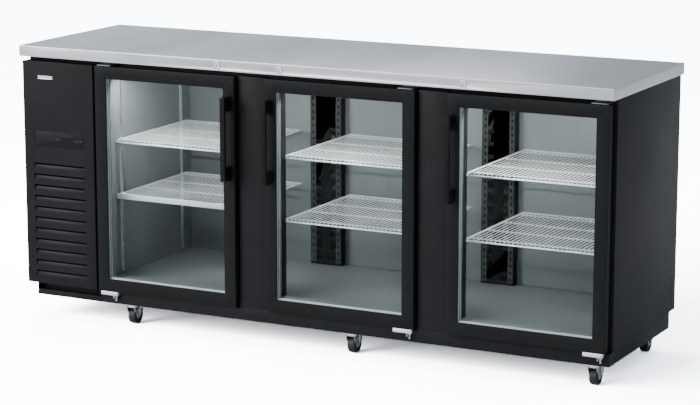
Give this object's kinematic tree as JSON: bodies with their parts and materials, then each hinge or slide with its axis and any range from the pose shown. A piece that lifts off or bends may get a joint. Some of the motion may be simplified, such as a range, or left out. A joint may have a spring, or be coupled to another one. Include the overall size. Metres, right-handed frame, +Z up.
{
  "type": "under counter fridge",
  "caption": "Black back bar fridge with a stainless worktop, glass doors, wire shelves, side machine compartment and swivel casters.",
  "frame": {"origin": "on the floor, under the middle of the bounding box", "axes": "+X along the worktop, to the right seen from the front; +Y from the doors to the back; +Z up"},
  "size_m": [2.296, 0.7314, 1],
  "materials": {
    "satin_stainless": "satin brushed stainless sheet",
    "black_painted_steel": "satin black powder coat",
    "black_door_frame": "satin black frame",
    "interior_liner": "light grey stucco liner",
    "door_glass": "clear double pane with a faint green-grey edge",
    "gasket_rubber": "soft black seal",
    "zinc_plated_steel": "bright zinc plate",
    "white_coated_wire": "white dipped wire",
    "wheel_rubber": "dark grey wheel",
    "dark_duct": "dark slotted sheet",
    "coil_metal": "finned coil",
    "black_plastic": "black moulded plastic"
  },
  "bodies": {
    "cabinet": {"countertop": "satin_stainless", "ceiling_panel": "black_painted_steel", "back_wall": "interior_liner", "right_wall": "black_painted_steel", "divider_wall": "interior_liner", "floor_panel": "interior_liner", "post_left": "black_painted_steel", "post_right": "black_painted_steel", "bottom_rail": "black_painted_steel", "machine_base": "black_painted_steel", "machine_side_panel": "black_painted_steel", "front_grille": "black_painted_steel", "rear_grille": "black_painted_steel", "controller": "black_plastic", "compressor": "black_painted_steel", "condenser": "coil_metal", "evaporator": "coil_metal", "air_duct_left": "dark_duct", "air_duct_right": "dark_duct", "shelf_1_lower": "white_coated_wire", "shelf_1_upper": "white_coated_wire", "bottom_hinge_1": "zinc_plated_steel", "top_hinge_1": "zinc_plated_steel", "shelf_2_lower": "white_coated_wire", "shelf_2_upper": "white_coated_wire", "bottom_hinge_2": "zinc_plated_steel", "top_hinge_2": "zinc_plated_steel", "shelf_3_lower": "white_coated_wire", "shelf_3_upper": "white_coated_wire", "bottom_hinge_3": "zinc_plated_steel", "top_hinge_3": "zinc_plated_steel"},
    "door_1": {"door_frame_1": "black_door_frame", "door_glass_1": "door_glass", "door_gasket_1": "gasket_rubber", "door_handle_1": "black_plastic"},
    "door_2": {"door_frame_2": "black_door_frame", "door_glass_2": "door_glass", "door_gasket_2": "gasket_rubber", "door_handle_2": "black_plastic"},
    "door_3": {"door_frame_3": "black_door_frame", "door_glass_3": "door_glass", "door_gasket_3": "gasket_rubber", "door_handle_3": "black_plastic"},
    "lock_1": {"lock_plug_1": "zinc_plated_steel"},
    "lock_2": {"lock_plug_2": "zinc_plated_steel"},
    "lock_3": {"lock_plug_3": "zinc_plated_steel"},
    "caster_1_swivel": {"caster_fork_1": "zinc_plated_steel"},
    "caster_1_wheel": {"caster_wheel_1": "wheel_rubber"},
    "caster_2_swivel": {"caster_fork_2": "zinc_plated_steel"},
    "caster_2_wheel": {"caster_wheel_2": "wheel_rubber"},
    "caster_3_swivel": {"caster_fork_3": "zinc_plated_steel"},
    "caster_3_wheel": {"caster_wheel_3": "wheel_rubber"},
    "caster_4_swivel": {"caster_fork_4": "zinc_plated_steel"},
    "caster_4_wheel": {"caster_wheel_4": "wheel_rubber"},
    "caster_5_swivel": {"caster_fork_5": "zinc_plated_steel"},
    "caster_5_wheel": {"caster_wheel_5": "wheel_rubber"},
    "caster_6_swivel": {"caster_fork_6": "zinc_plated_steel"},
    "caster_6_wheel": {"caster_wheel_6": "wheel_rubber"},
    "condenser_fan_rotor": {"condenser_fan": "black_plastic"},
    "evaporator_fan_rotor": {"evaporator_fan": "black_plastic"}
  },
  "joints": [
    {"name": "door_1_hinge", "type": "hinge", "parent": "cabinet", "child": "door_1", "pos_m": [-0.805, -0.3067, 0.127], "axis": [0, 0, -1], "range_deg": [0, 105]},
    {"name": "door_2_hinge", "type": "hinge", "parent": "cabinet", "child": "door_2", "pos_m": [0.43402, -0.3067, 0.127], "axis": [0, 0, 1], "range_deg": [0, 105]},
    {"name": "door_3_hinge", "type": "hinge", "parent": "cabinet", "child": "door_3", "pos_m": [1.125, -0.3067, 0.127], "axis": [0, 0, 1], "range_deg": [0, 105]},
    {"name": "lock_1_turn", "type": "hinge", "parent": "cabinet", "child": "lock_1", "pos_m": [-0.31896, -0.3073, 0.9785], "axis": [0, 1, 0], "range_deg": [0, 90]},
    {"name": "lock_2_turn", "type": "hinge", "parent": "cabinet", "child": "lock_2", "pos_m": [-0.07302, -0.3073, 0.9785], "axis": [0, 1, 0], "range_deg": [0, 90]},
    {"name": "lock_3_turn", "type": "hinge", "parent": "cabinet", "child": "lock_3", "pos_m": [0.61796, -0.3073, 0.9785], "axis": [0, 1, 0], "range_deg": [0, 90]},
    {"name": "caster_1_swivel_turn", "type": "hinge", "parent": "cabinet", "child": "caster_1_swivel", "pos_m": [-0.709, -0.2597, 0.076], "axis": [0, 0, 1], "continuous": true},
    {"name": "caster_1_wheel_roll", "type": "hinge", "parent": "caster_1_swivel", "child": "caster_1_wheel", "pos_m": [-0.709, -0.2437, 0.03], "axis": [1, 0, 0], "continuous": true},
    {"name": "caster_2_swivel_turn", "type": "hinge", "parent": "cabinet", "child": "caster_2_swivel", "pos_m": [0.1855, -0.2597, 0.076], "axis": [0, 0, 1], "continuous": true},
    {"name": "caster_2_wheel_roll", "type": "hinge", "parent": "caster_2_swivel", "child": "caster_2_wheel", "pos_m": [0.1855, -0.2437, 0.03], "axis": [1, 0, 0], "continuous": true},
    {"name": "caster_3_swivel_turn", "type": "hinge", "parent": "cabinet", "child": "caster_3_swivel", "pos_m": [1.08, -0.2597, 0.076], "axis": [0, 0, 1], "continuous": true},
    {"name": "caster_3_wheel_roll", "type": "hinge", "parent": "caster_3_swivel", "child": "caster_3_wheel", "pos_m": [1.08, -0.2437, 0.03], "axis": [1, 0, 0], "continuous": true},
    {"name": "caster_4_swivel_turn", "type": "hinge", "parent": "cabinet", "child": "caster_4_swivel", "pos_m": [-0.709, 0.2151, 0.076], "axis": [0, 0, 1], "continuous": true},
    {"name": "caster_4_wheel_roll", "type": "hinge", "parent": "caster_4_swivel", "child": "caster_4_wheel", "pos_m": [-0.709, 0.2311, 0.03], "axis": [1, 0, 0], "continuous": true},
    {"name": "caster_5_swivel_turn", "type": "hinge", "parent": "cabinet", "child": "caster_5_swivel", "pos_m": [0.1855, 0.2151, 0.076], "axis": [0, 0, 1], "continuous": true},
    {"name": "caster_5_wheel_roll", "type": "hinge", "parent": "caster_5_swivel", "child": "caster_5_wheel", "pos_m": [0.1855, 0.2311, 0.03], "axis": [1, 0, 0], "continuous": true},
    {"name": "caster_6_swivel_turn", "type": "hinge", "parent": "cabinet", "child": "caster_6_swivel", "pos_m": [1.08, 0.2151, 0.076], "axis": [0, 0, 1], "continuous": true},
    {"name": "caster_6_wheel_roll", "type": "hinge", "parent": "caster_6_swivel", "child": "caster_6_wheel", "pos_m": [1.08, 0.2311, 0.03], "axis": [1, 0, 0], "continuous": true},
    {"name": "condenser_fan_spin", "type": "hinge", "parent": "cabinet", "child": "condenser_fan_rotor", "pos_m": [-0.969, -0.1457, 0.2063], "axis": [0, 1, 0], "continuous": true},
    {"name": "evaporator_fan_spin", "type": "hinge", "parent": "cabinet", "child": "evaporator_fan_rotor", "pos_m": [-0.9353, 0.0043, 0.77], "axis": [0, 1, 0], "continuous": true}
  ]
}
